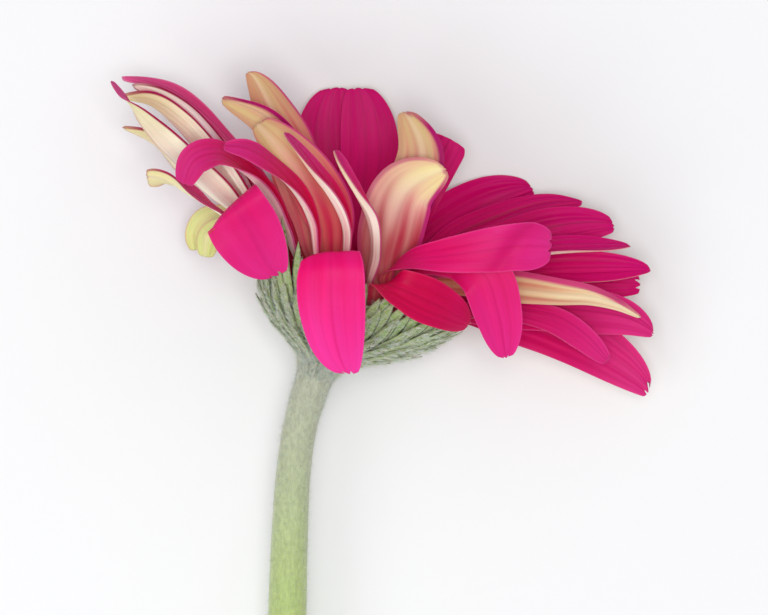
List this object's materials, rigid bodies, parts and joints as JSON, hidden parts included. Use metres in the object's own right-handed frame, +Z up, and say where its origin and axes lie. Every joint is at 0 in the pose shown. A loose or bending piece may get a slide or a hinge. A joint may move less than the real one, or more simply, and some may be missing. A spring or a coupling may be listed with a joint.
{
  "type": "cut gerbera flower",
  "caption": "Cut gerbera lying on its side: leafless stem, woolly green bract cup, floret disc and curling pink ray petals.",
  "frame": {"origin": "centre of the flower's footprint, on the surface that it lies on", "axes": "+Y from the cut end of the stem to the flower head, +Z up from the surface"},
  "size_m": [0.1002, 0.2551, 0.0477],
  "materials": {
    "petal_pink": "satin, finely grooved, paler underneath",
    "bract_green": "woolly",
    "stem_green": "matte, softly hairy",
    "disc_yellow": "matte"
  },
  "bodies": {
    "root": {"stem": "stem_green", "receptacle": "stem_green", "disc_florets": "disc_yellow", "bracts_outer": "bract_green", "bracts_middle": "bract_green", "bracts_inner": "bract_green", "ray_front_a": "petal_pink", "ray_front_b": "petal_pink", "ray_front_c": "petal_pink", "ray_front_d": "petal_pink", "ray_front_e": "petal_pink", "ray_left_a": "petal_pink", "ray_left_b": "petal_pink", "ray_left_c": "petal_pink", "ray_left_d": "petal_pink", "ray_left_e": "petal_pink", "ray_left_f": "petal_pink", "ray_left_g": "petal_pink", "ray_left_h": "petal_pink", "ray_left_i": "petal_pink", "ray_mid_a": "petal_pink", "ray_mid_b": "petal_pink", "ray_mid_c": "petal_pink", "ray_near_a": "petal_pink", "ray_near_b": "petal_pink", "ray_near_c": "petal_pink", "ray_near_d": "petal_pink", "ray_right_a": "petal_pink", "ray_right_b": "petal_pink", "ray_right_c": "petal_pink", "ray_right_d": "petal_pink", "ray_right_e": "petal_pink", "ray_right_f": "petal_pink", "ray_right_g": "petal_pink", "ray_right_h": "petal_pink", "ray_right_i": "petal_pink", "ray_right_j": "petal_pink", "ray_top_a": "petal_pink", "ray_top_b": "petal_pink", "ray_top_c": "petal_pink", "ray_top_d": "petal_pink", "ray_top_e": "petal_pink", "ray_under_a": "petal_pink", "ray_under_b": "petal_pink"}
  },
  "joints": []
}
